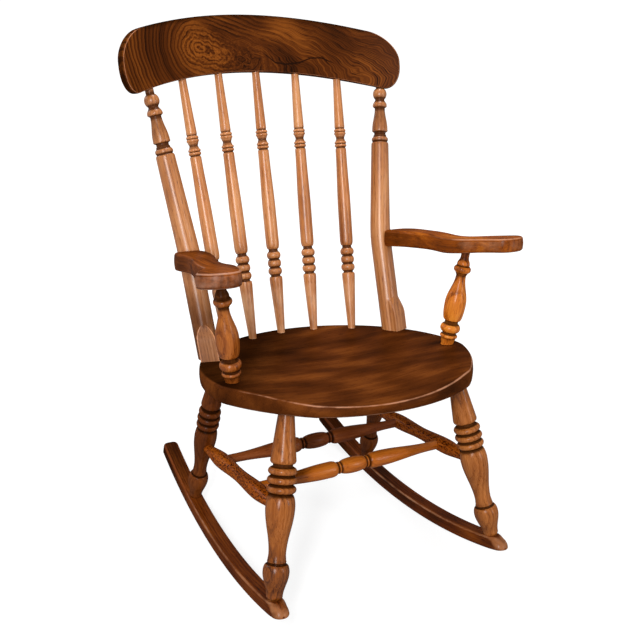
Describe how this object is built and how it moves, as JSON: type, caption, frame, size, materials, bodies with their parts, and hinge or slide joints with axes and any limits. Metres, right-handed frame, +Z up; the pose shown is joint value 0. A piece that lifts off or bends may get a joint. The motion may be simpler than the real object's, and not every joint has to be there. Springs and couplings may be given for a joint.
{
  "type": "rocking chair",
  "caption": "Wooden elbow rocking chair with a dished seat, turned spindle back, curved crest rail, shaped arms, turned legs with stretchers, and bow rockers.",
  "frame": {"origin": "on the floor, at the middle of the chair's outline seen from above, with the chair standing empty on its rockers", "axes": "+Z up, +Y towards the back of the chair so that the sitter faces -Y, +X towards the right side of the chair as seen from the front"},
  "size_m": [0.6634, 0.7669, 0.9519],
  "materials": {
    "seat_wood": "waxed and polished",
    "crest_wood": "waxed and polished",
    "upright_wood": "waxed and polished",
    "spindle_wood": "waxed and polished",
    "arm_wood": "waxed and polished",
    "post_wood": "waxed and polished",
    "leg_wood": "waxed and polished",
    "stretcher_wood": "waxed and polished",
    "rocker_wood": "waxed and polished",
    "peg_wood": "waxed and polished",
    "screw_steel": "dull"
  },
  "bodies": {
    "root": {"seat": "seat_wood", "crest_rail": "crest_wood", "left_upright": "upright_wood", "right_upright": "upright_wood", "back_spindle_1": "spindle_wood", "back_spindle_2": "spindle_wood", "back_spindle_3": "spindle_wood", "back_spindle_4": "spindle_wood", "back_spindle_5": "spindle_wood", "left_arm": "arm_wood", "right_arm": "arm_wood", "left_arm_post": "post_wood", "right_arm_post": "post_wood", "front_left_leg": "leg_wood", "front_right_leg": "leg_wood", "rear_left_leg": "leg_wood", "rear_right_leg": "leg_wood", "left_side_stretcher": "stretcher_wood", "right_side_stretcher": "stretcher_wood", "front_cross_stretcher": "stretcher_wood", "rear_cross_stretcher": "stretcher_wood", "left_rocker": "rocker_wood", "right_rocker": "rocker_wood", "arm_screws": "screw_steel", "rocker_pegs": "peg_wood", "crest_pegs": "peg_wood"}
  },
  "joints": []
}
